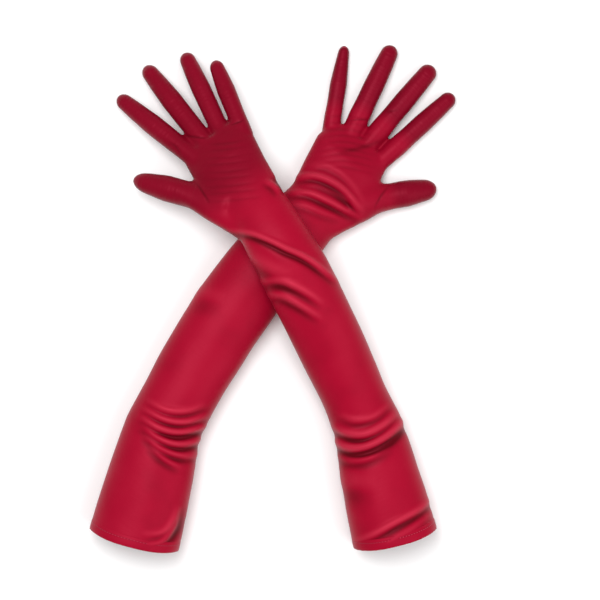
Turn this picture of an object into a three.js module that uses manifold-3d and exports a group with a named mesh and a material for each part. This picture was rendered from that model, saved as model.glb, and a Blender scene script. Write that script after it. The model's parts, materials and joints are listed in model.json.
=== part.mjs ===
// A pair of long satin opera gloves, lying palms up with the left glove crossed over the right one.
// Millimetres, +Z up. The fingers point along +Y and the hems are at -Y.
import * as THREE from "three";
import { mergeVertices } from "three/addons/utils/BufferGeometryUtils.js";
import Module from "manifold-3d";

const wasm = await Module();
wasm.setup();

// The cloth and the room between neighbouring sections.
const CLOTH = 1.2;
const HEM_CLOTH = 2.0;
const HEM_DEPTH = 12;
const GAP = 0.3;
const FLAT_SINK = 2.0; // how much of each round section is flattened by the table
const CROSSING_ROOM = 1.6; // air between the two forearms where one lies over the other

// Heights above and below the middle of each section.
const HEM_HALF_HEIGHT = 31;
const UPPER_HALF_HEIGHT = 29.5;
const ELBOW_HALF_HEIGHT = 27;
const FOREARM_HALF_HEIGHT = 25.5;
const CROSSING_HALF_HEIGHT = 22.5;
const WRIST_HALF_HEIGHT = 18.5;
const PALM_HALF_HEIGHT = 15.5;
const KNUCKLE_HALF_HEIGHT = 11.5;
const FINGER_ROUNDNESS = 0.92; // a finger's height over its width
const TIP_TAPER = 0.86;

const PANEL_STEPS = 10; // faces across one panel
const FINGER_STEPS = 12; // faces round one finger

// Lengths are along each section; turns are in degrees from +Y, positive towards the thumb.
// A finger is where its root lies on the hand (along it, and across it towards the thumb),
// its turn from the hand's own direction, its length and its half width.
const GLOVES = {
  left: {
    outward: -1,
    armTurn: 26.6,
    armBow: 4.5,
    upperTurn: 13.8,
    handTurn: 37,
    upperLength: 117,
    forearmLength: 251,
    crossingToWrist: 48,
    halfWidths: { hem: 42, upper: 40, aboveElbow: 37.5, elbow: 34.5, belowElbow: 31.5, forearm: 33.5, wrist: 31 },
    palm: { offsets: [0, 0, -2, -4], halfWidths: [31, 34.5, 37, 37] },
    thumb: { along: 42, across: 44.5, turn: 37.5, length: 61, halfWidth: 12.6 },
    fingers: {
      index: { along: 89.7, across: 25.8, turn: 14, length: 80, halfWidth: 9.6 },
      middle: { along: 97.6, across: 4.2, turn: 1, length: 78, halfWidth: 9.8 },
      ring: { along: 92.6, across: -18.8, turn: -12, length: 71, halfWidth: 8.8 },
      little: { along: 81.2, across: -37.5, turn: -15, length: 58, halfWidth: 8.4 },
    },
  },
  right: {
    outward: 1,
    armTurn: 34.5,
    armBow: 13,
    upperTurn: 14.5,
    handTurn: 38.5,
    upperLength: 117,
    forearmLength: 273,
    crossingToWrist: 55,
    halfWidths: { hem: 45, upper: 43.5, aboveElbow: 41, elbow: 37.5, belowElbow: 35.5, forearm: 37, wrist: 32.5 },
    palm: { offsets: [0, 0, -3.5, -5], halfWidths: [32.5, 37, 39.5, 38] },
    thumb: { along: 45.5, across: 46, turn: 41, length: 54.5, halfWidth: 12.8 },
    fingers: {
      index: { along: 95.6, across: 25.8, turn: 9, length: 75, halfWidth: 8.8 },
      middle: { along: 99.1, across: 2, turn: 1.5, length: 80, halfWidth: 9.5 },
      ring: { along: 93.4, across: -22.2, turn: -13, length: 79, halfWidth: 9.3 },
      little: { along: 79.4, across: -43.4, turn: -29, length: 70, halfWidth: 7.6 },
    },
  },
};
const PALM_STATIONS = [0, 30, 55, 71]; // lengths from the wrist that the palm's widths belong to
const THUMB_JOINT_SHARE = 0.48;
const FINGER_JOINT_SHARE = 0.5;
const TOUCH_SHARE = 0.9; // how far along the middle finger it comes to rest on the table
const PALM_FRONT = { reach: 7, narrowing: 5, thinning: 1.5 }; // the round front edge between the stalls
// How far the roots of the stalls reach back into the palm, and how wide they are there.
const THUMB_ROOT = { reach: 34, swell: 1.3 };
const FINGER_ROOT = { reach: 26, swell: 0.95 };
const WALL_OVERLAP = 1; // how far a hollow runs past the end of its part, so that it opens there
const KNUCKLE_SEAM_HEIGHT = 9; // half height that the side seam follows at the knuckles
const SEAM_ROUNDING = 0.02; // keeps two panels a full gap apart where their faces are short

const satin = (name) =>
  new THREE.MeshStandardMaterial({ color: name.startsWith("left") ? 0xb01630 : 0x9c1029, roughness: 0.42 });

const pair = new THREE.Group();
pair.userData.hinges = {};

// ---- directions and sections ----

// The level direction that is turned by degrees from +Y towards the glove's thumb side.
function heading(glove, turn) {
  const angle = THREE.MathUtils.degToRad(turn);
  return new THREE.Vector3(glove.outward * Math.sin(angle), Math.cos(angle), 0);
}

// A section stands upright, square to a level direction: a round ring of half width and half height.
function section(glove, at, turn, halfWidth, halfHeight) {
  return { at: at.clone(), across: heading(glove, turn + 90), halfWidth, halfHeight };
}

function moved(glove, at, turn, length, rise = 0) {
  const to = at.clone().addScaledVector(heading(glove, turn), length);
  to.z += rise;
  return to;
}

// Points round a section, from one angle to another, kept above the table by the floor height.
function ringPoints(ring, inset, from, to, steps, floor) {
  return Array.from({ length: steps + 1 }, (_, i) => {
    const angle = from + ((to - from) * i) / steps;
    const point = ring.at.clone();
    point.addScaledVector(ring.across, (ring.halfWidth - inset) * Math.cos(angle));
    point.z = Math.max(point.z + (ring.halfHeight - inset) * Math.sin(angle), floor);
    return point;
  });
}

// ---- closed bodies from rows of points ----

class Skin {
  constructor() {
    this.corners = [];
  }
  triangle(a, b, c) {
    this.corners.push(a, b, c);
  }
  quad(a, b, c, d) {
    this.triangle(a, b, c);
    this.triangle(a, c, d);
  }
  // The surface between neighbouring rows; flipped turns it inside out.
  rows(rows, flipped) {
    for (let r = 0; r + 1 < rows.length; r++) {
      for (let i = 0; i + 1 < rows[r].length; i++) {
        const [a, b, c, d] = [rows[r][i], rows[r][i + 1], rows[r + 1][i + 1], rows[r + 1][i]];
        if (flipped) this.quad(a, d, c, b);
        else this.quad(a, b, c, d);
      }
    }
  }
  geometry() {
    const flat = this.corners.flatMap((p) => [p.x, p.y, p.z]);
    const shape = new THREE.BufferGeometry();
    shape.setAttribute("position", new THREE.Float32BufferAttribute(flat, 3));
    return withoutSlivers(mergeVertices(shape, 1e-3));
  }
}

// Drops the faces that have lost a corner to the merge, and turns a body outward if it is inside out.
function withoutSlivers(shape) {
  const index = shape.getIndex().array;
  const p = shape.getAttribute("position");
  const kept = [];
  let volume = 0;
  const [a, b, c] = [new THREE.Vector3(), new THREE.Vector3(), new THREE.Vector3()];
  for (let i = 0; i < index.length; i += 3) {
    const [x, y, z] = [index[i], index[i + 1], index[i + 2]];
    if (x === y || y === z || z === x) continue;
    kept.push(x, y, z);
    volume += a.fromBufferAttribute(p, x).dot(b.fromBufferAttribute(p, y).cross(c.fromBufferAttribute(p, z)));
  }
  if (volume < 0) kept.reverse();
  shape.setIndex(kept);
  return shape;
}

// A cloth tube along sections, whole round or one half of it. A tube that ends in a point is closed there.
function clothShell(rings, { from = 0, to = 2 * Math.PI, steps, cloth = CLOTH, tip = null }) {
  const skin = new Skin();
  const outer = rings.map((ring) => ringPoints(ring, 0, from, to, steps, 0));
  const inner = rings.map((ring) => ringPoints(ring, cloth, from, to, steps, cloth));
  const last = rings.length - 1;
  if (tip) {
    outer.push(Array(steps + 1).fill(tip.outer));
    inner.push(Array(steps + 1).fill(tip.inner));
  }
  skin.rows(outer, false);
  skin.rows(inner, true);
  skin.rows([inner[0], outer[0]], false);
  if (!tip) skin.rows([outer[last], inner[last]], false);
  if (to - from < 2 * Math.PI - 0.001) {
    skin.rows([outer.map((row) => row[0]), inner.map((row) => row[0])], false);
    skin.rows([outer.map((row) => row[steps]), inner.map((row) => row[steps])], true);
  }
  return skin.geometry();
}

// A filled body along sections, used to join and cut the hand.
function filled(rings, inset, steps, floor) {
  const skin = new Skin();
  const rows = rings.map((ring) => ringPoints(ring, inset, 0, 2 * Math.PI, steps, floor));
  skin.rows(rows, false);
  for (const [row, flipped] of [[rows[0], true], [rows[rows.length - 1], false]]) {
    const centre = new THREE.Vector3();
    row.slice(0, steps).forEach((point) => centre.addScaledVector(point, 1 / steps));
    skin.rows([row, Array(steps + 1).fill(centre)], flipped);
  }
  return solid(skin.geometry());
}

function solid(shape) {
  return new wasm.Manifold(
    new wasm.Mesh({
      numProp: 3,
      vertProperties: new Float32Array(shape.getAttribute("position").array),
      triVerts: new Uint32Array(shape.getIndex().array),
    }),
  );
}

function surface(body) {
  const { vertProperties, triVerts } = body.getMesh();
  const shape = new THREE.BufferGeometry();
  shape.setAttribute("position", new THREE.Float32BufferAttribute(vertProperties, 3));
  shape.setIndex(Array.from(triVerts));
  return shape;
}

function add(name, shape) {
  const mesh = new THREE.Mesh(shape, satin(name));
  mesh.name = name;
  pair.add(mesh);
}

// A fold line: it runs across the palm side of a section, where the cloth creases.
function hinge(name, ring) {
  const at = ring.at.clone();
  at.z += ring.halfHeight;
  pair.userData.hinges[name] = { at, across: ring.across.clone() };
}

// The two panels of a sleeve section, sewn along its sides.
function addPanels(name, rings) {
  const lean = (ring) => (GAP / 2 + SEAM_ROUNDING) / ring.halfHeight;
  const seam = Math.max(...rings.map(lean));
  add(`${name}_palm_panel`, clothShell(rings, { from: seam, to: Math.PI - seam, steps: PANEL_STEPS }));
  add(`${name}_back_panel`, clothShell(rings, { from: Math.PI + seam, to: 2 * Math.PI - seam, steps: PANEL_STEPS }));
}

// ---- the arm: hem, upper sleeve and forearm ----

// The forearm's middle line, from the elbow (0) to the wrist (1), with the crossing at the plan's centre.
function forearmPoint(glove, share) {
  const crossing = 1 - glove.crossingToWrist / glove.forearmLength;
  const along = (share - crossing) * glove.forearmLength;
  const bow = 4 * glove.armBow * (share * (1 - share) - crossing * (1 - crossing));
  return moved(glove, moved(glove, new THREE.Vector3(), glove.armTurn, along), glove.armTurn + 90, -bow);
}

function forearmTurn(glove, share) {
  const slope = (-4 * glove.armBow * (1 - 2 * share)) / glove.forearmLength;
  return glove.armTurn + THREE.MathUtils.radToDeg(Math.atan(slope));
}

const lyingHeight = (halfHeight) => halfHeight - FLAT_SINK;
const crossingTop = lyingHeight(CROSSING_HALF_HEIGHT) + CROSSING_HALF_HEIGHT;
const crossingShare = (glove) => 1 - glove.crossingToWrist / glove.forearmLength;

// The slope at which the upper glove's hand comes down to rest its middle fingertip on the table.
function handSlope(glove) {
  if (glove !== GLOVES.left) return 0;
  const { along, length, halfWidth } = glove.fingers.middle;
  const tipHeight = halfWidth * FINGER_ROUNDNESS * TIP_TAPER;
  const drop = crossingTop + CROSSING_ROOM + CROSSING_HALF_HEIGHT - tipHeight;
  return drop / (glove.crossingToWrist / 2 + along + length * TOUCH_SHARE);
}

// The height of the forearm's middle: flat on the table, or arched over the other glove.
function forearmHeight(glove, share, halfHeight) {
  if (glove !== GLOVES.left) return lyingHeight(halfHeight);
  const top = crossingTop + CROSSING_ROOM + CROSSING_HALF_HEIGHT;
  const crossing = crossingShare(glove);
  const start = lyingHeight(ELBOW_HALF_HEIGHT);
  if (share < crossing) return THREE.MathUtils.lerp(start, top, THREE.MathUtils.smoothstep(share, 0, crossing));
  const past = (share - crossing) / (1 - crossing);
  return top - (handSlope(glove) * glove.crossingToWrist * past * past) / 2;
}

function armSections(glove) {
  const { halfWidths: w } = glove;
  const crossing = crossingShare(glove);
  const stations = [
    [0, w.elbow, ELBOW_HALF_HEIGHT],
    [0.07, (w.elbow + w.belowElbow) / 2, ELBOW_HALF_HEIGHT],
    [0.14, w.belowElbow, ELBOW_HALF_HEIGHT],
    [0.34, w.forearm, FOREARM_HALF_HEIGHT],
    [0.5, w.forearm, FOREARM_HALF_HEIGHT],
    [0.66, w.forearm, CROSSING_HALF_HEIGHT + 1.2],
    [crossing, w.forearm - 1, CROSSING_HALF_HEIGHT],
    [(1 + crossing) / 2, (w.forearm + w.wrist) / 2 - 0.5, (CROSSING_HALF_HEIGHT + WRIST_HALF_HEIGHT) / 2],
    [1, w.wrist, WRIST_HALF_HEIGHT],
  ];
  return stations.map(([share, halfWidth, halfHeight]) => {
    const at = forearmPoint(glove, share);
    at.z = forearmHeight(glove, share, halfHeight);
    let turn = forearmTurn(glove, share);
    if (share === 0) turn = (turn + glove.upperTurn) / 2;
    if (share === 1) turn = (turn + glove.handTurn) / 2;
    return section(glove, at, turn, halfWidth, halfHeight);
  });
}

// The sleeve above the elbow, from the hem's inner edge to the elbow.
function upperSections(glove, elbow) {
  const { halfWidths: w } = glove;
  const stations = [
    [glove.upperLength, w.hem, HEM_HALF_HEIGHT],
    [glove.upperLength - HEM_DEPTH, w.hem - 0.5, HEM_HALF_HEIGHT],
    [glove.upperLength * 0.6, w.upper, UPPER_HALF_HEIGHT],
    [glove.upperLength * 0.3, w.aboveElbow, UPPER_HALF_HEIGHT - 1],
  ];
  return stations.map(([back, halfWidth, halfHeight]) => {
    const at = moved(glove, elbow.at, glove.upperTurn, -back);
    at.z = lyingHeight(halfHeight);
    return section(glove, at, glove.upperTurn, halfWidth, halfHeight);
  });
}

// The same section, moved a little along the direction it faces.
function shifted(ring, by) {
  const forward = new THREE.Vector3(-ring.across.y, ring.across.x, 0);
  const sign = Math.sign(forward.y) || 1;
  return { ...ring, at: ring.at.clone().addScaledVector(forward, by * sign) };
}

// ---- the hand and its fingers ----

function handPoint(glove, wrist, along, across) {
  const at = moved(glove, wrist.at, glove.handTurn, along);
  at.addScaledVector(heading(glove, glove.handTurn + 90), across);
  if (glove === GLOVES.left) at.z = wrist.at.z - handSlope(glove) * along;
  return at;
}

// A finger's sections all stand square to its folding direction, halfway between the hand's and its own.
function fingerSection(glove, wrist, finger, foldTurn, along, scale) {
  const turn = THREE.MathUtils.degToRad(finger.turn);
  const at = handPoint(
    glove,
    wrist,
    finger.along + along * Math.cos(turn),
    finger.across + along * Math.sin(turn),
  );
  const halfHeight = finger.halfWidth * FINGER_ROUNDNESS * scale;
  at.z = glove === GLOVES.left ? Math.max(at.z, halfHeight) : halfHeight - FLAT_SINK / 3;
  const slant = Math.cos(THREE.MathUtils.degToRad(finger.turn - foldTurn));
  return section(glove, at, glove.handTurn + foldTurn, (finger.halfWidth * scale) / slant, halfHeight);
}

function addStall(glove, name, wrist, finger, foldTurn, jointShare) {
  const ring = (along, scale) => fingerSection(glove, wrist, finger, foldTurn, along, scale);
  const { length, halfWidth } = finger;
  const joint = length * jointShare;
  const waist = (1 + TIP_TAPER) / 2;
  const root = ring(0, 1);
  const middle = ring(joint, waist);
  add(
    `${name}_lower`,
    clothShell([shifted(root, GAP / 2), ring(joint / 2, 0.98), shifted(middle, -GAP / 2)], { steps: FINGER_STEPS }),
  );
  const dome = halfWidth * TIP_TAPER;
  const rings = [shifted(middle, GAP / 2), ring(length - dome, TIP_TAPER)];
  for (const angle of [30, 55, 74]) {
    const a = THREE.MathUtils.degToRad(angle);
    rings.push(ring(length - dome + dome * Math.sin(a), TIP_TAPER * Math.cos(a)));
  }
  const end = ring(length, TIP_TAPER).at;
  const inner = ring(length - CLOTH * 1.6, TIP_TAPER).at;
  const tipHeight = rings[rings.length - 1].at.z;
  end.z = tipHeight;
  inner.z = tipHeight;
  add(`${name}_tip`, clothShell(rings, { steps: FINGER_STEPS, tip: { outer: end, inner } }));
  hinge(`${name}_lower`, root);
  hinge(`${name}_tip`, middle);
  return root;
}

// Short tubes reach out of the palm to each finger's root.
function stub(glove, wrist, finger, foldTurn, reach, scale, past) {
  const ring = (along, size) => fingerSection(glove, wrist, finger, foldTurn, along, size);
  const root = ring(0, 1);
  const start = ring(-reach, scale);
  return [start, shifted(root, past)];
}

function addHand(glove, side, wrist) {
  const heights = [WRIST_HALF_HEIGHT, PALM_HALF_HEIGHT + 1.5, PALM_HALF_HEIGHT, KNUCKLE_HALF_HEIGHT];
  const palm = PALM_STATIONS.map((along, i) => {
    const at = handPoint(glove, wrist, along, glove.palm.offsets[i]);
    if (glove !== GLOVES.left) at.z = lyingHeight(heights[i]);
    return section(glove, at, glove.handTurn, glove.palm.halfWidths[i], heights[i]);
  });
  palm[0] = shifted(wrist, GAP / 2);
  const front = palm[palm.length - 1];
  palm.push({
    ...shifted(front, PALM_FRONT.reach),
    halfWidth: front.halfWidth - PALM_FRONT.narrowing,
    halfHeight: KNUCKLE_HALF_HEIGHT - PALM_FRONT.thinning,
  });
  palm[palm.length - 1].at.z -= PALM_FRONT.reach * handSlope(glove);
  const end = palm.length - 1;
  const opened = [shifted(wrist, -WALL_OVERLAP), ...palm.slice(1, end), shifted(palm[end], -2 * CLOTH)];

  const stalls = Object.entries(glove.fingers).map(([name, finger]) => ({ name, finger, fold: finger.turn / 2 }));
  stalls.push({ name: "thumb", finger: glove.thumb, fold: glove.thumb.turn });
  let outside = filled(palm, 0, 2 * PANEL_STEPS, 0);
  let inside = filled(opened, CLOTH, 2 * PANEL_STEPS, CLOTH);
  for (const { name, finger, fold } of stalls) {
    const { reach, swell } = name === "thumb" ? THUMB_ROOT : FINGER_ROOT;
    outside = outside.add(filled(stub(glove, wrist, finger, fold, reach, swell, -GAP / 2), 0, FINGER_STEPS, 0));
    inside = inside.add(filled(stub(glove, wrist, finger, fold, reach, swell, WALL_OVERLAP), CLOTH, FINGER_STEPS, CLOTH));
    addStall(glove, `${side}_${name}`, wrist, finger, fold, name === "thumb" ? THUMB_JOINT_SHARE : FINGER_JOINT_SHARE);
  }
  const shell = outside.subtract(inside);
  for (const [name, up] of [["palm", 1], ["back", -1]]) {
    const body = shell.intersect(handHalf(glove, wrist, up));
    add(`${side}_hand_${name}_panel`, surface(largest(body)));
  }
}

// Everything on one side of the hand's side seams, as a thick slab on the hand's middle surface.
function handHalf(glove, wrist, up) {
  const reach = 400;
  const slope = handSlope(glove);
  const lower = glove === GLOVES.left;
  const skin = new Skin();
  const row = (along, across) => {
    const at = handPoint(glove, wrist, along, across);
    const depth = THREE.MathUtils.clamp(along / PALM_STATIONS[3], 0, 1);
    if (!lower) at.z = THREE.MathUtils.lerp(wrist.at.z, lyingHeight(KNUCKLE_SEAM_HEIGHT), depth);
    if (lower) at.z = wrist.at.z - slope * along;
    return at;
  };
  const near = [-20, 0, PALM_STATIONS[3], 260].map((along) => [row(along, -reach / 2), row(along, reach / 2)]);
  const seam = near.map((pts) => pts.map((p) => p.clone().add(new THREE.Vector3(0, 0, (up * GAP) / 2))));
  const far = seam.map((pts) => pts.map((p) => p.clone().add(new THREE.Vector3(0, 0, up * 120))));
  skin.rows(seam, false);
  skin.rows(far, true);
  skin.rows([seam[0], far[0]], true);
  skin.rows([seam[seam.length - 1], far[far.length - 1]], false);
  skin.rows([seam.map((p) => p[0]), far.map((p) => p[0])], false);
  skin.rows([seam.map((p) => p[1]), far.map((p) => p[1])], true);
  return solid(skin.geometry());
}

function largest(body) {
  return body.decompose().reduce((a, b) => (a.volume() > b.volume() ? a : b));
}

for (const [side, glove] of Object.entries(GLOVES)) {
  const forearm = armSections(glove);
  const elbow = forearm[0];
  const wrist = forearm[forearm.length - 1];
  const upper = upperSections(glove, elbow);
  const hemEnd = upper.slice(0, 2);
  add(
    `${side}_hem`,
    clothShell([hemEnd[0], shifted(hemEnd[1], -GAP / 2)], { steps: 2 * PANEL_STEPS, cloth: HEM_CLOTH }),
  );
  addPanels(`${side}_upper_sleeve`, [shifted(upper[1], GAP / 2), upper[2], upper[3], shifted(elbow, -GAP / 2)]);
  addPanels(`${side}_forearm`, [shifted(elbow, GAP / 2), ...forearm.slice(1, -1), shifted(wrist, -GAP / 2)]);
  hinge(`${side}_upper`, elbow);
  hinge(`${side}_hand`, wrist);
  addHand(glove, side, wrist);
}

// The origin is the middle of the pair's footprint, on the table.
pair.updateMatrixWorld(true);
const middle = new THREE.Box3().setFromObject(pair, true).getCenter(new THREE.Vector3());
pair.children.forEach((mesh) => mesh.geometry.translate(-middle.x, -middle.y, 0));
Object.values(pair.userData.hinges).forEach((fold) => fold.at.sub(new THREE.Vector3(middle.x, middle.y, 0)));

export default pair;
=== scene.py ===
import json

import bpy
import numpy as np
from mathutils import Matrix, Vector


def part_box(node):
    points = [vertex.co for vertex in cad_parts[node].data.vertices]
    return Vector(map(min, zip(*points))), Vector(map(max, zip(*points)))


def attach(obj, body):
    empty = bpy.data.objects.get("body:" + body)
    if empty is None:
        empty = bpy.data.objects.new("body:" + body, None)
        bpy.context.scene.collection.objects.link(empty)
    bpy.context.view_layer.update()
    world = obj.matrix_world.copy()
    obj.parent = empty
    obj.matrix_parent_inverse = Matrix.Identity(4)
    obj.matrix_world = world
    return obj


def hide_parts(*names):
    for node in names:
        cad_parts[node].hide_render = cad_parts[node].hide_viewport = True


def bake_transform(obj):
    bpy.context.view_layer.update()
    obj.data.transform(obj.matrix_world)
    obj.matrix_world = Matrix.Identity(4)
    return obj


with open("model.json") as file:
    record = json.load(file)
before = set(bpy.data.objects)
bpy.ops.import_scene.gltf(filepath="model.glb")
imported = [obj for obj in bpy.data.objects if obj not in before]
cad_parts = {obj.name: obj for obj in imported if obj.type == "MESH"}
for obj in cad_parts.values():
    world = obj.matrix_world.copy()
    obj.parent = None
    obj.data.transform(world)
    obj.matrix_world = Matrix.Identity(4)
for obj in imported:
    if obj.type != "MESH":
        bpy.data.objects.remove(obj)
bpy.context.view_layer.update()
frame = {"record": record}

# The folds of the pair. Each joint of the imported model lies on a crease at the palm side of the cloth,
# so the joints give the places of the elbows, the wrists and every finger joint.
MM = 0.001
UP = np.array([0.0, 0.0, 1.0])
folds = {j["name"]: j for j in frame["record"]["behaviour"]["joints"] if j["type"] == "hinge"}


def fold_place(name):
    """The crease's point, and the level direction that the cloth beyond it runs in."""
    fold = folds[name]
    return np.array(fold["pos_m"]), np.cross(UP, np.array(fold["axis"]))


# ---- The gloves' form ----
# Each glove is one skin of stretch satin, cut as a palm side and a back side and sewn round the edge.
# The sleeve, the palm and the stalls are swept as round tubes, joined into one skin and then relaxed,
# which draws the soft webs between the fingers as the stretched cloth does.
VOXEL = 1.28 * MM
SIZES = {
    "left": {
        "bow": 4.5, "crossing": 1 - 48 / 251, "upper": 117, "thumb": (61, 12.6, 0.60),
        "sleeve": (42.8, 40.8, 38.0, 34.8, 31.8, 33.8, 34.0, 34.2, 32.4, 30.6, 30.0),
        "palm": ((0, 31), (0, 34.5), (-2, 37), (-4, 37), (-4, 33)),
        "index": (80, 9.6, 0.72), "middle": (78, 9.8, 0.74),
        "ring": (71, 8.9, 0.78), "little": (58, 8.5, 0.72),
    },
    "right": {
        "bow": 11, "crossing": 1 - 55 / 273, "upper": 117, "thumb": (54.5, 12.8, 0.68),
        "sleeve": (45.8, 44.3, 41.6, 38.3, 36.9, 38.2, 38.6, 38.0, 36.6, 34.8, 32.5),
        "palm": ((0, 32.5), (-1, 38), (-4, 39.5), (-4.5, 36.5), (-3, 31)),
        "index": (75, 9.0, 0.80), "middle": (80, 9.6, 0.86),
        "ring": (79, 9.6, 0.80), "little": (70, 7.8, 0.60),
    },
}  # in millimetres: a stall's length, half width and share of it at the tip; the palm's offset and half width
SLEEVE_AT = (-1.0, -0.6, -0.3, 0.0, 0.14, 0.34, 0.5, 0.66, 0.8, 0.9, 1.0)  # below 0 it is above the elbow
SLEEVE_HALF_HEIGHTS = (31, 29.5, 28.5, 27, 26.5, 25.5, 25.5, 23.7, 22.5, 20.5, 18.5)
PALM_AT = (0, 30, 55, 71, 79)
PALM_HALF_HEIGHTS = (18.5, 17, 15.5, 11.5, 9.5)
ELBOW_HALF_HEIGHT = 27
WRIST_HALF_HEIGHT = 18.5
STALL_FLATNESS = 0.92  # a stall's height to its width
FLAT_SINK = 2.0
STALL_EASE = 0.4
TIP_EASE = 2.0
HEM_BOW = 5.0
FINGERS = ("index", "middle", "ring", "little")
OUTWARD = {"left": -1.0, "right": 1.0}


def ring_rows(centres, across, half_widths, half_heights, steps):
    """Rows of points round each centre: centre + width * cos(angle) * across + height * sin(angle) * up."""
    angle = np.linspace(0, 2 * np.pi, steps, endpoint=False)
    side = across[:, None, :] * (half_widths[:, None] * np.cos(angle))[:, :, None]
    rise = UP * (half_heights[:, None] * np.sin(angle))[:, :, None]
    rows = centres[:, None, :] + side + rise
    rows[:, :, 2] = np.maximum(rows[:, :, 2], 0.0)
    return rows


def tube_mesh(rows):
    """A closed tube: neighbouring rows are joined by quads, and each end is one many-sided face."""
    count, steps = rows.shape[:2]
    start = (np.arange(count - 1) * steps)[:, None]
    i = np.arange(steps)
    j = (i + 1) % steps
    quads = np.stack([start + i, start + j, start + steps + j, start + steps + i], -1).reshape(-1, 4)
    return rows.reshape(-1, 3), quads.tolist() + [list(i[::-1]), list((count - 1) * steps + i)]


def smooth_between(at, known_at, known):
    """Values between known stations, rounded off by averaging over a short stretch."""
    fine = np.linspace(known_at[0], known_at[-1], 400)
    values = np.interp(fine, known_at, known)
    window = np.hanning(31)
    padded = np.pad(values, 15, mode="edge")
    return np.interp(at, fine, np.convolve(padded, window / window.sum(), mode="valid"))


def glove_layout(side):
    """Where the glove's elbow, wrist, palm and stalls lie, from its folds."""
    out = {"side": side, "outward": OUTWARD[side]}
    elbow, _ = fold_place(f"{side}_elbow_fold")
    wrist, _ = fold_place(f"{side}_wrist_fold")
    out["elbow"] = elbow - UP * ELBOW_HALF_HEIGHT * MM
    out["wrist"] = wrist - UP * WRIST_HALF_HEIGHT * MM
    chord = (out["wrist"] - out["elbow"])[:2]
    out["arm"] = np.append(chord / np.linalg.norm(chord), 0)
    middle, _ = fold_place(f"{side}_middle_base_fold")
    turn = np.radians({"left": 37.0, "right": 38.5}[side])
    out["hand"] = np.array([out["outward"] * np.sin(turn), np.cos(turn), 0])
    out["hand_across"] = np.array([out["outward"] * np.cos(turn), -np.sin(turn), 0])
    upper = np.radians({"left": 13.8, "right": 14.5}[side])
    out["upper"] = np.array([out["outward"] * np.sin(upper), np.cos(upper), 0])
    drop = middle[2] - 9.8 * STALL_FLATNESS * MM - out["wrist"][2]
    out["slope"] = drop / np.dot(middle - wrist, out["hand"]) if side == "left" else 0.0
    return out


def hem_place(layout):
    """The middle of the hem, at the end of the upper sleeve."""
    return layout["elbow"] - layout["upper"] * SIZES[layout["side"]]["upper"] * MM


def across_of(direction, outward):
    """The level direction square to a heading, towards the glove's thumb side."""
    side = np.stack([direction[..., 1], -direction[..., 0], np.zeros(direction.shape[:-1])], -1)
    return side * outward / np.linalg.norm(side, axis=-1, keepdims=True)


def sleeve_line(layout, share):
    """The sleeve's middle line. From elbow to wrist it bows towards the little finger's side, and the
    glove on top climbs by a smooth step to the crossing and comes down by a parabola beyond it."""
    size = SIZES[layout["side"]]
    chord = layout["wrist"] - layout["elbow"]
    chord[2] = 0
    inward = -across_of(layout["arm"], layout["outward"])
    fore = np.clip(share, 0, 1)[:, None]
    line = layout["elbow"] + chord * fore + inward * size["bow"] * MM * 4 * fore * (1 - fore)
    line = line + layout["upper"] * (np.minimum(share, 0) * size["upper"] * MM)[:, None]
    half = smooth_between(share, SLEEVE_AT, SLEEVE_HALF_HEIGHTS) * MM
    line[:, 2] = half - FLAT_SINK * MM
    if layout["side"] == "left":
        crossing = size["crossing"]
        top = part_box("left_forearm_palm_panel")[1][2] - 22.5 * MM
        low = 25 * MM
        t = np.clip(share / crossing, 0, 1)
        climb = low + (top - low) * t * t * (3 - 2 * t)
        past = np.clip((share - crossing) / (1 - crossing), 0, 1)
        fall = (top - layout["wrist"][2]) * past**2
        line[:, 2] = np.where(share > 0, climb - fall, line[:, 2])
    return line, half


def sleeve_tube(layout):
    """The sleeve from the hem to just inside the palm."""
    size = SIZES[layout["side"]]
    share = np.linspace(-1.06, 1.0, 160)
    line, half = sleeve_line(layout, share)
    width = smooth_between(share, SLEEVE_AT, size["sleeve"]) * MM
    heading = np.gradient(line, axis=0)
    heading[:, 2] = 0
    heading[0] = layout["upper"]
    return ring_rows(line, across_of(heading, layout["outward"]), width, half, 64)


def palm_point(layout, along, across):
    """A point on the palm's middle sheet, in millimetres along and across the hand."""
    at = layout["wrist"] + layout["hand"] * along * MM + layout["hand_across"] * across * MM
    at[2] += layout["slope"] * along * MM
    return at


def palm_tube(layout):
    """The palm, from inside the wrist to the row of knuckles."""
    along = np.linspace(-6, 79, 40)
    offset = smooth_between(along, PALM_AT, [p[0] for p in SIZES[layout["side"]]["palm"]])
    width = smooth_between(along, PALM_AT, [p[1] for p in SIZES[layout["side"]]["palm"]]) * MM
    half = smooth_between(along, PALM_AT, PALM_HALF_HEIGHTS) * MM
    centres = np.array([palm_point(layout, a, o) for a, o in zip(along, offset)])
    if layout["side"] == "right":
        centres[:, 2] = half - FLAT_SINK * MM
    across = np.tile(layout["hand_across"], (len(along), 1))
    return ring_rows(centres, across, width, half, 64)


def stall_frame(layout, finger):
    """A stall's root and tip on its middle line, its heading and its sizes."""
    side = layout["side"]
    root, _ = fold_place(f"{side}_{finger}_base_fold")
    joint, _ = fold_place(f"{side}_{finger}_middle_fold")
    length, half, _ = SIZES[side][finger]
    plan = (joint - root)[:2]
    heading = np.append(plan / np.linalg.norm(plan), 0)
    centre = root - UP * half * STALL_FLATNESS * MM
    drop = layout["slope"] * np.dot(heading, layout["hand"])
    return centre, heading, length, half, drop


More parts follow.
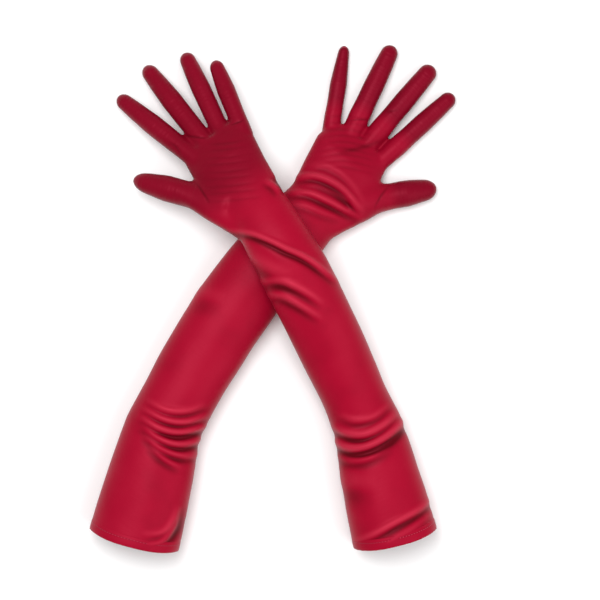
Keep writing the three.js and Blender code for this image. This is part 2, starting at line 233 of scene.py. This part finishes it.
def stall_tube(layout, finger):
    """A stall with a round tip. Its width swells a little at the pads between the joints, and its root
    reaches back into the palm."""
    centre, heading, length, half, drop = stall_frame(layout, finger)
    length += TIP_EASE
    reach = 34 if finger == "thumb" else 24
    swell = 0.34 if finger == "thumb" else 0.0
    dome_start = length - half * 0.86
    over_tip = length - half * 0.86 * (1 - np.sin(np.linspace(0.1, 1.5, 9)))
    t = np.concatenate([np.linspace(-reach, dome_start, 60), over_tip])
    tip = SIZES[layout["side"]][finger][2]
    root = {"left": 1.02, "right": 1.10}[layout["side"]]
    shape = ((-reach / length, 1.0 + swell), (0, root), (0.2, 1.03),
             (0.45, 1.04), (0.72, (1.1 + tip) / 2), (1, tip))
    taper = np.interp(t / length, *zip(*shape))
    dome = np.sqrt(np.clip(1 - ((t - dome_start) / (half * 0.86)).clip(0) ** 2, 0.001, 1))
    width = (half + STALL_EASE) * taper * dome * MM
    centres = centre + heading * (t * MM)[:, None]
    if layout["side"] == "left":
        centres[:, 2] += drop * t * MM
        centres[:, 2] = np.maximum(centres[:, 2], width * STALL_FLATNESS)
    else:
        lowest = half * 0.86 * 0.85 * MM
        centres[:, 2] = np.maximum(width * STALL_FLATNESS - FLAT_SINK / 3 * MM, lowest)
    across = np.tile(across_of(heading, layout["outward"]), (len(t), 1))
    return ring_rows(centres, across, width, width * STALL_FLATNESS, 32)


def thumb_web(layout):
    """The cloth that runs on from under the thumb to the sleeve's thumb side, below the wrist."""
    centre, heading, _, half, _ = stall_frame(layout, "thumb")
    line, _ = sleeve_line(layout, np.array([0.82]))
    out = across_of(layout["arm"], layout["outward"])
    start = centre + heading * 20 * MM + layout["hand"] * 3 * MM
    end = line[0] + out * 5 * MM
    t = np.linspace(0, 1, 30)[:, None]
    width = np.interp(t[:, 0], [0, 0.4, 1], [half * 0.62, half * 0.9, 15]) * MM
    centres = start + (end - start) * t
    centres[:, 2] = np.maximum(centres[:, 2], width)
    across = np.tile(across_of(end - start, 1.0), (len(t), 1))
    return ring_rows(centres, across, width, width * 0.95, 32)


def joined_skin(name, tubes):
    """All the tubes as one closed skin, remeshed into even quads by voxels."""
    points, faces, start = [], [], 0
    for rows in tubes:
        p, f = tube_mesh(rows)
        points.append(p)
        faces += [[start + i for i in face] for face in f]
        start += len(p)
    mesh = bpy.data.meshes.new(name)
    mesh.from_pydata(np.concatenate(points).tolist(), [], faces)
    thing = bpy.data.objects.new(name, mesh)
    bpy.context.collection.objects.link(thing)
    remesh = thing.modifiers.new("remesh", "REMESH")
    remesh.mode = "VOXEL"
    remesh.voxel_size = VOXEL
    whole = bpy.data.meshes.new_from_object(thing.evaluated_get(bpy.context.evaluated_depsgraph_get()))
    bpy.data.objects.remove(thing)
    return whole


def mesh_arrays(mesh):
    """Points, edges and four-cornered faces of a mesh as whole arrays."""
    points = np.empty(len(mesh.vertices) * 3)
    mesh.vertices.foreach_get("co", points)
    edges = np.empty(len(mesh.edges) * 2, int)
    mesh.edges.foreach_get("vertices", edges)
    corners = np.empty(len(mesh.loops), int)
    mesh.loops.foreach_get("vertex_index", corners)
    totals = np.empty(len(mesh.polygons), int)
    mesh.polygons.foreach_get("loop_total", totals)
    assert (totals == 4).all()
    return points.reshape(-1, 3), edges.reshape(-1, 2), corners.reshape(-1, 4)


def relax(points, edges, share, rounds, keep=0.0):
    """Moves each point towards the mean of its neighbours, by its own share, a number of times. Each
    move is followed by one back, `keep` times as large, so the skin doesn't shrink."""
    a, b = edges.T
    count = np.bincount(edges.ravel(), minlength=len(points))[:, None]
    for step in [1.0, -keep] * rounds:
        total = np.zeros_like(points)
        for axis in range(3):
            total[:, axis] = np.bincount(a, points[b, axis], len(points))
            total[:, axis] += np.bincount(b, points[a, axis], len(points))
        points = points + (total / count - points) * (step * share)[:, None]
    return points


def point_normals(points, faces):
    """The mean of the crossed diagonals of the faces round each point."""
    p = points[faces]
    face = np.cross(p[:, 2] - p[:, 0], p[:, 3] - p[:, 1])
    normal = np.zeros_like(points)
    for corner in range(4):
        for axis in range(3):
            normal[:, axis] += np.bincount(faces[:, corner], face[:, axis], len(points))
    return normal / (np.linalg.norm(normal, axis=1, keepdims=True) + 1e-12)


# ---- The creases ----
# Satin over an arm rolls into folds at the elbow and the wrist, drags into long pleats on the forearm,
# and is gathered at each finger's base. A fold is a smooth line in plan, in millimetres, with its half
# width and its rise; the cloth dips on its right-hand side. A furrow is a fold that only dips. The points
# are fixed places on the floor plan of the pair at rest, so they don't follow a joint that is moved.
FOLDS = {
    "left": [
        ([(-44, 69), (-20, 65), (0, 57), (14, 50), (28, 44), (40, 37), (52, 28), (66, 17)], 2.4, 2.6),
        ([(-14, 17), (4, 19), (18, 16), (34, 8), (52, -4)], 3.4, 1.8),
        ([(-6, 4), (10, 4), (30, -6), (50, -19)], 3.0, 1.5),
        ([(-24, 46), (-8, 36), (6, 28), (22, 24)], 5.0, 0.9),
        ([(58, -124), (73, -131), (90, -132), (108, -124), (124, -111)], 3.4, 2.6),
        ([(59, -137), (73, -145), (91, -144), (112, -134), (133, -117)], 3.7, 3.6),
        ([(60, -150), (75, -157), (94, -155), (118, -143)], 3.2, 1.2),
        ([(66, -112), (82, -118), (100, -114), (116, -102)], 2.9, 1.2),
        ([(76, -240), (98, -231), (120, -219), (145, -206), (160, -195)], 3.0, 2.3),
        ([(90, -248), (118, -236), (140, -222), (160, -208)], 3.0, 1.0),
        ([(2, 126), (9, 121), (16, 113), (17, 102)], 2.8, 2.2),
        ([(-8, 118), (2, 112), (9, 103)], 2.4, 1.0),
        ([(56, -184), (80, -178), (104, -182)], 8, 0.7),
    ],
    "right": [
        ([(12, 107), (34, 107), (52, 100), (70, 91), (92, 80)], 2.8, 1.9),
        ([(20, 122), (40, 124), (58, 118), (74, 107), (92, 86)], 3.2, 2.6),
        ([(24, 114), (42, 115), (58, 109), (74, 99), (92, 83)], 2.2, 0.8),
        ([(30, 133), (50, 135), (68, 127), (84, 110), (94, 92)], 3.0, 0.8),
        ([(8, 96), (30, 95), (50, 87), (72, 80)], 2.6, 0.7),
        ([(-124, -98), (-104, -108), (-84, -109), (-64, -102)], 2.9, 1.7),
        ([(-128, -106), (-106, -117), (-86, -120), (-64, -114)], 2.9, 2.5),
        ([(-130, -114), (-110, -126), (-90, -130), (-64, -125)], 3.0, 3.2),
        ([(-130, -122), (-110, -136), (-90, -142), (-66, -138)], 2.9, 2.5),
        ([(-128, -132), (-108, -146), (-90, -153), (-72, -154)], 2.7, 1.9),
        ([(-122, -143), (-104, -157), (-88, -166)], 2.6, 1.3),
        ([(-130, -240), (-110, -238), (-98, -226), (-92, -212)], 2.8, 2.0),
        ([(-128, -231), (-108, -228), (-98, -216), (-92, -202)], 3.0, 1.6),
        ([(-90, 0), (-70, 8), (-46, 4)], 7, 0.7),
    ],
}
FURROWS = {
    "left": [
        ([(-75, 116), (-70, 109), (-65, 101), (-61, 94)], 1.0, -0.8),
        ([(-41, 173), (-27, 178)], 1.0, -0.8), ([(-87, 163), (-75, 161), (-63, 160)], 1.0, -0.8),
        ([(-104, 157), (-96, 152), (-90, 143)], 1.0, -0.5),
    ],
    "right": [
        ([(72, 179), (85, 180), (98, 180)], 1.0, -0.7), ([(112, 188), (127, 190)], 1.0, -0.5),
        ([(117, 115), (109, 105), (101, 90)], 1.2, -0.7), ([(62, 146), (88, 152), (114, 160)], 2.4, -0.6),
    ],
}
for step in range(9):
    lift = 96 + 7.2 * step
    FURROWS["left"].append(([(-66, lift), (-42, lift + 1 + step % 2), (-8 - 2 * step, lift + 5)], 1.5, -0.26))
    lift = 128 + 6.5 * step
    FURROWS["right"].append(([(40 + step, lift), (70, lift + 4), (106, lift - 4 + step % 3)], 1.6, -0.28))


def smooth_line(line, steps=8):
    """A curve through the given points: Catmull-Rom, each stretch the cubic that leaves and meets its
    ends along the line between their neighbours."""
    p = np.array(line, float)
    p = np.concatenate([[2 * p[0] - p[1]], p, [2 * p[-1] - p[-2]]])
    t = np.linspace(0, 1, steps, endpoint=False)[:, None]
    parts = []
    for a, b, c, d in zip(p[:-3], p[1:-2], p[2:-1], p[3:]):
        square, cube = 2 * a - 5 * b + 4 * c - d, 3 * b - 3 * c + d - a
        parts.append(0.5 * (2 * b + (c - a) * t + square * t**2 + cube * t**3))
    return np.concatenate(parts + [p[-2:-1]])


def distance_to_line(plan, line):
    """Each point's distance to a bent line, above zero on its left, and how far along it the nearest
    point lies, from 0 to 1."""
    line = smooth_line(line) * MM
    best = np.full(len(plan), 1e9)
    signed = best.copy()
    share = np.zeros(len(plan))
    lengths = np.linalg.norm(np.diff(line, axis=0), axis=1)
    done = 0.0
    for a, b, length in zip(line[:-1], line[1:], lengths):
        way = b - a
        rel = plan - a
        t = (rel @ way / length**2).clip(0, 1)
        gap = np.linalg.norm(rel - t[:, None] * way, axis=1)
        near = gap < best
        share[near] = ((done + t * length) / lengths.sum())[near]
        left = np.sign(way[0] * rel[:, 1] - way[1] * rel[:, 0])
        signed[near] = (gap * left)[near]
        best = np.minimum(best, gap)
        done += length
    return signed, share


def crease_height(points, normals, side):
    """Sum of bell curves over the folds and furrows, each fading at its ends and on the side that faces
    down: rise * exp(-(d/w)^2) - 0.7 * rise * exp(-((d + 2 w)/(1.25 w))^2)."""
    facing = (normals[:, 2] * 1.6 + 0.85).clip(0, 1)
    height = np.zeros(len(points))
    for lines, dips in ((FOLDS[side], 0.7), (FURROWS[side], 0.0)):
        for line, half_width, rise in lines:
            gap, share = distance_to_line(points[:, :2], line)
            w = half_width * MM
            fade = np.sin(np.pi * (0.01 + 0.98 * share)) ** 0.9
            trough = np.exp(-(((gap + 2.0 * w) / (1.25 * w)) ** 2))
            bell = np.exp(-((gap / w) ** 2)) - dips * trough
            height += rise * MM * bell * fade * facing
    return height


def ripple(points, heading, seed):
    """Slight unevenness of worn cloth: twelve low waves in seeded directions, longest along the sleeve."""
    random = np.random.default_rng(seed)
    total = np.zeros(len(points))
    for _ in range(12):
        wave = random.normal(size=3)
        wave -= heading * np.dot(wave, heading) * -0.4
        wave *= random.uniform(60, 210) / np.linalg.norm(wave)
        total += np.sin(points @ wave + random.uniform(0, 6.28)) / (1 + np.linalg.norm(wave) / 80)
    return total * 0.16 * MM


# ---- Cutting the skin into lengths ----
# The skin is parted only where the cloth stays straight, so a length holds one fold and no more.
def finger_places(layout, points):
    """For each stall: how far along it every point lies from its root, and its distance off the middle
    line, in metres."""
    places = {}
    for finger in FINGERS + ("thumb",):
        centre, heading, length, half, _ = stall_frame(layout, finger)
        rel = points - centre
        along = rel @ heading
        off = np.abs(rel @ across_of(heading, 1.0))
        places[finger] = along, off, length * MM, half * MM
    return places


def stall_cuts(finger, length):
    """Where a stall's two lengths start, in metres from its root."""
    if finger == "thumb":
        return 8 * MM, length * 0.48 * 0.66
    return 6 * MM, length * 0.5 * 0.55


def cut_labels(layout, points):
    """The length of cloth that each point belongs to, by name. A stall is parted from the palm where it
    has come clear of its neighbours."""
    label = np.full(len(points), "hand", dtype=object)
    wrist_along = (points - layout["wrist"]) @ layout["hand"]
    chord = layout["wrist"] - layout["elbow"]
    span = np.linalg.norm(chord[:2])
    share = (points - layout["elbow"]) @ layout["arm"] / span
    label[wrist_along < 12 * MM] = "forearm"
    label[(share < 0.5)] = "upper_sleeve"
    places = finger_places(layout, points)
    nearest = np.argmin([np.where(along > 0, off / half, 1e3) for along, off, _, half in places.values()], 0)
    for order, (finger, (along, off, length, half)) in enumerate(places.items()):
        stall = (nearest == order) & (off < half * 1.4) & (wrist_along > 18 * MM)
        root, middle = stall_cuts(finger, length)
        label[stall & (along > root) & (along <= middle)] = f"{finger}_lower"
        label[stall & (along > middle)] = f"{finger}_tip"
    return label


def piece_of(name, points, faces, normals, chosen, values):
    """A piece made of the chosen faces, which keeps the whole skin's normals so that no joint shows."""
    faces = faces[chosen]
    used, index = np.unique(faces, return_inverse=True)
    mesh = bpy.data.meshes.new(name)
    mesh.from_pydata(points[used].tolist(), [], index.reshape(-1, 4).tolist())
    mesh.polygons.foreach_set("use_smooth", np.ones(len(faces), bool))
    for key, value in values.items():
        mesh.attributes.new(key, "FLOAT", "POINT").data.foreach_set("value", value[used].astype(np.float32))
    mesh.update()
    mesh.normals_split_custom_set_from_vertices(normals[used].tolist())
    thing = bpy.data.objects.new(name, mesh)
    bpy.context.collection.objects.link(thing)
    return thing


# ---- The satin ----
# Stretch satin: a close warp-faced weave with a broad soft sheen, with a run of small stitches along each
# sewn edge.
# Its threads follow the sleeve. Painted shade darkens the furrows and the sides where the cloth turns under
# at the seams, a painted highlight lightens the ridges, and painted shade deepens the hand and its stalls.
def satin(name, colour, crease_shade, ridge_highlight):
    """Base colour mixed from the painted crease shade to the painted ridge highlight by the furrow attribute
    and by slow clouds, with painted shade along the side seams where the cloth turns under and over the hand
    and stalls, a darker sewn edge and lighter stitches; bump from fine threads across and along the sleeve,
    the sewn edge and its stitches."""
    material = bpy.data.materials.new(name)
    material.use_nodes = True
    tree = material.node_tree
    tree.nodes.clear()
    link = tree.links.new

    def node(kind, **settings):
        made = tree.nodes.new(kind)
        for key, value in settings.items():
            setattr(made, key, value)
        return made

    def maths(operation, a, b=None, clamp=False):
        made = node("ShaderNodeMath", operation=operation, use_clamp=clamp)
        for socket, value in zip(made.inputs, (a, b)):
            if value is None:
                continue
            if isinstance(value, (int, float)):
                socket.default_value = value
            else:
                link(value, socket)
        return made.outputs[0]

    def field(attribute):
        return node("ShaderNodeAttribute", attribute_name=attribute).outputs["Fac"]

    out = node("ShaderNodeOutputMaterial")
    cloth = node("ShaderNodeBsdfPrincipled")
    link(cloth.outputs[0], out.inputs[0])
    place = node("ShaderNodeTexCoord").outputs["Object"]
    clouds = node("ShaderNodeTexNoise")
    clouds.inputs["Scale"].default_value = 26
    clouds.inputs["Detail"].default_value = 3
    link(place, clouds.inputs["Vector"])
    threads = node("ShaderNodeCombineXYZ")
    link(maths("MULTIPLY", field("along"), 2400.0), threads.inputs[0])
    link(maths("MULTIPLY", field("around"), 420.0), threads.inputs[1])
    weave = node("ShaderNodeTexNoise")
    weave.inputs["Scale"].default_value = 1.0
    weave.inputs["Detail"].default_value = 2
    link(threads.outputs[0], weave.inputs["Vector"])
    drag = node("ShaderNodeCombineXYZ")
    link(maths("MULTIPLY", field("along"), 330.0), drag.inputs[0])
    link(maths("MULTIPLY", field("around"), 55.0), drag.inputs[1])
    gathers = node("ShaderNodeTexNoise")
    gathers.inputs["Scale"].default_value = 1.0
    gathers.inputs["Detail"].default_value = 2
    link(drag.outputs[0], gathers.inputs["Vector"])
    edge = maths("ABSOLUTE", field("edge"))
    groove = maths("SUBTRACT", 1.0, maths("DIVIDE", edge, 0.0007), clamp=True)
    pitch = maths("ABSOLUTE", maths("SINE", maths("MULTIPLY", field("along"), 1100.0)))
    stitch = maths("MULTIPLY", groove, pitch)
    # Painted shade and highlight: the furrow attribute darkens the colour in the creases and lightens it on
    # the ridges.
    furrow = field("furrow")
    depth = maths("MULTIPLY_ADD", furrow, 330.0)
    depth.node.inputs[2].default_value = 0.5
    depth.node.use_clamp = True
    # Painted shade: the colour darkens within 4.5 mm of the side seam's height, where the cloth turns under
    # at the sides.
    turn = maths("ABSOLUTE", field("turn"))
    painted_turn_shade = maths("SUBTRACT", 1.0, maths("DIVIDE", turn, 0.0045), clamp=True)
    # The tone mixes the painted crease shade and ridge highlight with slow clouds, less the painted shade at
    # the turned sides.
    tone = maths("ADD", maths("MULTIPLY", depth, 0.80), maths("MULTIPLY", clouds.outputs["Fac"], 0.20))
    tone = maths("SUBTRACT", tone, maths("MULTIPLY", maths("MULTIPLY", painted_turn_shade, painted_turn_shade), 0.16))
    # The ramp runs from the painted crease shade through the satin's own colour to the painted ridge
    # highlight.
    ramp = node("ShaderNodeValToRGB")
    stops = ramp.color_ramp.elements
    stops[0].position, stops[0].color = 0.18, (*crease_shade, 1)
    stops[1].position, stops[1].color = 0.95, (*ridge_highlight, 1)
    middle = stops.new(0.5)
    middle.color = (*colour, 1)
    link(tone, ramp.inputs[0])
    shade = node("ShaderNodeMix", data_type="RGBA")
    link(maths("MULTIPLY", groove, 0.55), shade.inputs["Factor"])
    # Painted shade: the colour is multiplied darker over the hand and the stalls, by the hand attribute.
    painted_hand_shade = node("ShaderNodeMix", data_type="RGBA", blend_type="MULTIPLY")
    link(field("hand"), painted_hand_shade.inputs["Factor"])
    link(ramp.outputs[0], painted_hand_shade.inputs["A"])
    painted_hand_shade.inputs["B"].default_value = (0.60, 0.50, 0.62, 1)
    link(painted_hand_shade.outputs["Result"], shade.inputs["A"])
    thread = node("ShaderNodeMix", data_type="RGBA")
    link(maths("GREATER_THAN", stitch, 0.62), thread.inputs["Factor"])
    link(shade.outputs["Result"], thread.inputs["A"])
    thread.inputs["B"].default_value = (0.52, 0.05, 0.09, 1)
    shade.inputs["B"].default_value = (*[c * 0.35 for c in crease_shade], 1)
    link(thread.outputs["Result"], cloth.inputs["Base Color"])
    gloss = node("ShaderNodeMapRange")
    link(weave.outputs["Fac"], gloss.inputs["Value"])
    gloss.inputs["To Min"].default_value = 0.36
    gloss.inputs["To Max"].default_value = 0.50
    link(gloss.outputs[0], cloth.inputs["Roughness"])
    cloth.inputs["Specular IOR Level"].default_value = 0.30
    cloth.inputs["Specular Tint"].default_value = (1.0, 0.16, 0.26, 1)
    cloth.inputs["Sheen Weight"].default_value = 0.01
    cloth.inputs["Sheen Roughness"].default_value = 0.35
    cloth.inputs["Sheen Tint"].default_value = (1.0, 0.35, 0.45, 1)
    height = maths("ADD", maths("MULTIPLY", weave.outputs["Fac"], 0.22), maths("MULTIPLY", stitch, 0.7))
    height = maths("SUBTRACT", height, maths("MULTIPLY", groove, 1.2))
    gathered = maths("MULTIPLY", gathers.outputs["Fac"], maths("MULTIPLY_ADD", field("stall"), 2.5))
    gathered.node.inputs[1].links[0].from_node.inputs[2].default_value = 0.7
    height = maths("ADD", height, gathered)
    bump = node("ShaderNodeBump")
    bump.inputs["Strength"].default_value = 0.5
    bump.inputs["Distance"].default_value = 0.00035
    link(height, bump.inputs["Height"])
    link(bump.outputs[0], cloth.inputs["Normal"])
    return material


# Each satin: its own colour, the painted shade in the creases and the painted highlight on the ridges.
SATIN = {
    "left": satin("left_satin", (0.305, 0.0016, 0.018), (0.085, 0.0002, 0.003), (0.44, 0.018, 0.045)),
    "right": satin("right_satin", (0.300, 0.0016, 0.018), (0.085, 0.0002, 0.003), (0.43, 0.016, 0.042)),
}


def add_cloth(piece, side):
    """The cloth's thickness, inwards, and its finish."""
    wall = piece.modifiers.new("cloth", "SOLIDIFY")
    wall.thickness = 0.9 * MM
    wall.offset = -1.0
    wall.use_rim = False
    piece.data.materials.append(SATIN[side])


# ---- Both gloves, as lengths of satin ----
# The palm side and the back side run from the fingers to the hem; the thumb is let in by its own seam.
for side in ("right", "left"):
    layout = glove_layout(side)
    tubes = [sleeve_tube(layout), palm_tube(layout)]
    tubes += [stall_tube(layout, finger) for finger in FINGERS + ("thumb",)] + [thumb_web(layout)]
    skin = joined_skin(f"{side}_skin", tubes)
    points, edges, faces = mesh_arrays(skin)
    bpy.data.meshes.remove(skin)

    wrist_along = (points - layout["wrist"]) @ layout["hand"]
    knuckles = np.exp(-(((wrist_along - 82 * MM) / (16 * MM)) ** 2)) * (wrist_along < 110 * MM)
    thumb_root = fold_place(f"{side}_thumb_base_fold")[0]
    thumb = np.exp(-((np.linalg.norm(points - thumb_root, axis=1) / (30 * MM)) ** 2))
    wrist = np.exp(-(((wrist_along + 2 * MM) / (20 * MM)) ** 2))
    elbow = np.exp(-((((points - layout["elbow"]) @ layout["arm"]) / (22 * MM)) ** 2))
    points = relax(points, edges, np.full(len(points), 0.6), 14, keep=1.04)
    points = relax(points, edges, 0.5 * np.maximum(knuckles, thumb), 14)
    points = relax(points, edges, 0.6 * np.maximum(wrist, 0.6 * thumb), 60)
    points = relax(points, edges, 0.6 * elbow, 90, keep=0.9)

    normals = point_normals(points, faces)
    height = crease_height(points, normals, side)
    to_hem = (points - layout["elbow"]) @ layout["upper"] / MM + SIZES[side]["upper"]
    height *= (to_hem / 26).clip(0.0, 1) ** 0.5
    loose = (to_hem / 30).clip(0, 1) * np.where(wrist_along > 0.07, 0.35, 1.0)
    moved = height + ripple(points, layout["arm"], 7) * loose
    points = points + normals * moved[:, None]
    points = relax(points, edges, np.full(len(points), 0.3), 2)
    points[:, 2] = np.maximum(points[:, 2], 0.0003)
    normals = point_normals(points, faces)

    share = (points - layout["elbow"]) @ layout["arm"]
    forearm = np.linalg.norm((layout["wrist"] - layout["elbow"])[:2])
    line, _ = sleeve_line(layout, (share / forearm).clip(-1, 1))
    mid = np.where(wrist_along > 0, layout["wrist"][2] + layout["slope"] * wrist_along, line[:, 2])
    if side == "right":
        mid = np.where(wrist_along > 0, np.interp(wrist_along, [0, 0.08], [0.0165, 0.0085]), mid)
    reach = ((wrist_along + 6 * MM) / (44 * MM)).clip(0, 1)
    values = {
        "along": share,
        "around": (points - line) @ across_of(layout["arm"], 1.0),
        "edge": points[:, 2] - mid,
        # turn: the height off the side seam, where the material paints shade on the sides that turn under.
        "turn": points[:, 2] - mid,
        "furrow": height,
        # hand: how much painted shade darkens the hand and its stalls; weaker on the right glove.
        "hand": reach * reach * (3 - 2 * reach) * {"left": 1.0, "right": 0.3}[side],
        "stall": np.zeros(len(points)),
    }
    for finger in FINGERS + ("thumb",):
        along, off, _, half_width = finger_places(layout, points)[finger]
        on_stall = (along > 0) & (off < half_width * 1.3) & (wrist_along > 18 * MM)
        clear = (along / (18 * MM)).clip(0, 1) * on_stall
        values["stall"] = np.maximum(values["stall"], clear)
        values["hand"] = np.maximum(values["hand"], clear)
        values["along"] = np.where(on_stall, along, values["along"])
        values["around"] = np.where(on_stall, off, values["around"])
    face_mid = points[faces].mean(1)
    labels = cut_labels(layout, face_mid)
    hem_line = hem_place(layout)
    hem_half_width = SIZES[side]["sleeve"][0] * MM
    sideways = np.abs((face_mid - hem_line) @ across_of(layout["upper"], 1.0)) / hem_half_width
    bow = HEM_BOW * sideways.clip(0, 1) ** 3 * MM
    opening = (face_mid - hem_line) @ layout["upper"] < bow + 0.6 * MM

    bends = {
        "upper_sleeve": (f"{side}_forearm", f"{side}_upper_arm", layout["elbow"], -layout["upper"], 34),
        "forearm": (f"{side}_forearm", f"{side}_hand", layout["wrist"], layout["hand"], 24),
    }
    for label in sorted(set(labels)):
        chosen = (labels == label) & ~opening
        piece = piece_of(f"{side}_{label}_satin", points, faces, normals, chosen, values)
        add_cloth(piece, side)
        if label == "hand":
            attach(piece, f"{side}_hand")
        elif label in bends:
            a, b, at, heading, reach = bends[label]
            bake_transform(piece)
        else:
            finger, part = label.rsplit("_", 1)
            centre, heading, length, half_width, _ = stall_frame(layout, finger)
            a, b = (f"{side}_hand", f"{side}_{finger}_base")
            if part == "tip":
                a, b = (f"{side}_{finger}_base", f"{side}_{finger}_end")
            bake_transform(piece)
        if label in ("hand", "forearm", "upper_sleeve"):
            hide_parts(f"{side}_{label}_palm_panel", f"{side}_{label}_back_panel")
        else:
            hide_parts(f"{side}_{label}")

    # The hem: the edge of the sleeve is turned up twice and held by one row of small stitches.
    around = np.linspace(0, 2 * np.pi, 128, endpoint=False)
    depth = 11 * MM
    profile = [(1.0, -1.3), (1.03, -0.4), (0.98, 0.18), (0.75, 0.32), (0.3, 0.3), (0.06, 0.05), (-0.03, -0.7)]
    profile += [(0.05, -1.7), (0.4, -2.0), (0.9, -1.9)]
    bow = HEM_BOW * np.abs(np.cos(around)) ** 3 * MM
    rows = []
    for along, out in profile:
        at = -SIZES[side]["upper"] * MM + bow + depth * along
        centre = layout["elbow"] + layout["upper"] * at[:, None]
        near = at / (SIZES[side]["upper"] * MM)
        wide = smooth_between(near, SLEEVE_AT, SIZES[side]["sleeve"]) + out
        tall = smooth_between(near, SLEEVE_AT, SLEEVE_HALF_HEIGHTS)
        centre[:, 2] = (tall - FLAT_SINK) * MM
        tall = tall + out
        aside = across_of(layout["upper"], layout["outward"])
        ring = centre + aside * (wide * np.cos(around) * MM)[:, None]
        ring = ring + UP * (tall * np.sin(around) * MM)[:, None]
        ring[:, 2] = np.maximum(ring[:, 2], (0.2 - min(out, 0)) * MM)
        rows.append(ring)
    rows = np.array(rows + rows[:1])
    count, steps = rows.shape[:2]
    base = (np.arange(count - 1) * steps)[:, None]
    i = np.arange(steps)
    j = (i + 1) % steps
    whole = (count - 1) * steps
    quads = np.stack([base + i, base + j, (base + steps + j) % whole, (base + steps + i) % whole], -1)
    quads = quads.reshape(-1, 4)
    flat = rows[:-1].reshape(-1, 3)
    hem_mesh = bpy.data.meshes.new(f"{side}_hem_satin")
    hem_mesh.from_pydata(flat.tolist(), [], quads[:, ::-1].tolist())
    hem_mesh.polygons.foreach_set("use_smooth", np.ones(len(quads), bool))
    band = np.repeat([p[0] for p in profile], steps) * depth
    shown = np.repeat([p[1] for p in profile], steps) > -1
    for key, value in (("along", np.tile(around * 0.04, len(profile))), ("around", band),
                       ("edge", np.where(shown, band - 0.72 * depth, depth)),
                       ("turn", np.full(len(flat), depth)),
                       ("furrow", np.zeros(len(flat))), ("hand", np.zeros(len(flat))),
                       ("stall", np.zeros(len(flat)))):
        hem_mesh.attributes.new(key, "FLOAT", "POINT").data.foreach_set("value", value.astype(np.float32))
    hem_mesh.update()
    hem = bpy.data.objects.new(f"{side}_hem_satin", hem_mesh)
    bpy.context.collection.objects.link(hem)
    finer = hem.modifiers.new("round", "SUBSURF")
    finer.levels = finer.render_levels = 1
    hem.data.materials.append(SATIN[side])
    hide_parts(f"{side}_hem")
    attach(hem, f"{side}_upper_arm")

# ---- The room: pale floor, soft light and the camera over the pair ----
bpy.ops.mesh.primitive_plane_add(size=6, location=(0, 0, -0.0005))
floor = bpy.context.object
floor.name = "floor"
paper = bpy.data.materials.new("paper")
paper.use_nodes = True
paper.node_tree.nodes["Principled BSDF"].inputs["Base Color"].default_value = (0.93, 0.93, 0.93, 1)
paper.node_tree.nodes["Principled BSDF"].inputs["Roughness"].default_value = 0.9
floor.data.materials.append(paper)

world = bpy.data.worlds.new("studio")
bpy.context.scene.world = world
world.use_nodes = True
world.node_tree.nodes["Background"].inputs[0].default_value = (1, 1, 1, 1)
world.node_tree.nodes["Background"].inputs[1].default_value = 0.55


def soft_light(name, place, size, power):
    """A square softbox aimed at the middle of the pair."""
    data = bpy.data.lights.new(name, "AREA")
    data.shape = "SQUARE"
    data.size = size
    data.energy = power
    lamp = bpy.data.objects.new(name, data)
    lamp.location = place
    lamp.rotation_euler = (Vector((0, 0, 0.04)) - Vector(place)).to_track_quat("-Z", "Y").to_euler()
    bpy.context.collection.objects.link(lamp)


soft_light("key_light", (-0.25, 0.35, 1.7), 0.9, 22)
soft_light("fill_light", (0.9, -0.5, 1.3), 1.2, 9)

camera_data = bpy.data.cameras.new("camera")
camera = bpy.data.objects.new("camera", camera_data)
bpy.context.collection.objects.link(camera)
bpy.context.scene.camera = camera
HEIGHT = 2.4
camera.location = (0.0275, 0.0, HEIGHT)
bpy.context.scene.view_settings.view_transform = "Standard"
camera.rotation_euler = (0, 0, 0)
camera_data.sensor_width = 36
camera_data.lens = 36 * (HEIGHT - 0.015) / 0.6
